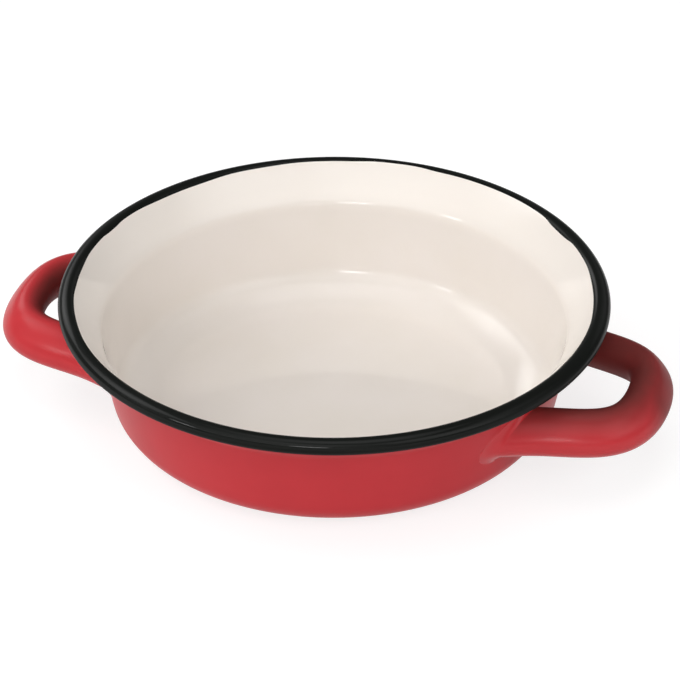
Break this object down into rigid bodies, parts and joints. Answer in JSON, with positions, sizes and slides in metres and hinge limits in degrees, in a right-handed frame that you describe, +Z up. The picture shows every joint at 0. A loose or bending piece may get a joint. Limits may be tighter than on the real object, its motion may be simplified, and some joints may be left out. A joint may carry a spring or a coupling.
{
  "type": "shirred egg dish",
  "caption": "Shallow round enamelled steel dish with a flared collar, a rolled rim and a loop handle on each side, for baking and serving eggs.",
  "frame": {"origin": "centre of the flat underside, on the table", "axes": "+X towards the right handle, which stands 1.1 degrees to the front of it, +Y away from the front, +Z up through the bowl"},
  "size_m": [0.1826, 0.144, 0.0372],
  "materials": {
    "drawn_steel": "drawn mild steel, dull, hidden under the enamel",
    "white_enamel": "glossy warm white vitreous enamel",
    "red_enamel": "glossy red vitreous enamel",
    "black_enamel": "glossy black vitreous enamel",
    "red_enamelled_steel": "pressed steel under glossy red vitreous enamel",
    "enamelled_weld": "weld seam under red vitreous enamel"
  },
  "bodies": {
    "root": {"steel_bowl": "drawn_steel", "inner_enamel": "white_enamel", "outer_enamel": "red_enamel", "rim_enamel": "black_enamel", "left_handle": "red_enamelled_steel", "right_handle": "red_enamelled_steel", "left_front_weld": "enamelled_weld", "left_back_weld": "enamelled_weld", "right_front_weld": "enamelled_weld", "right_back_weld": "enamelled_weld"}
  },
  "joints": []
}
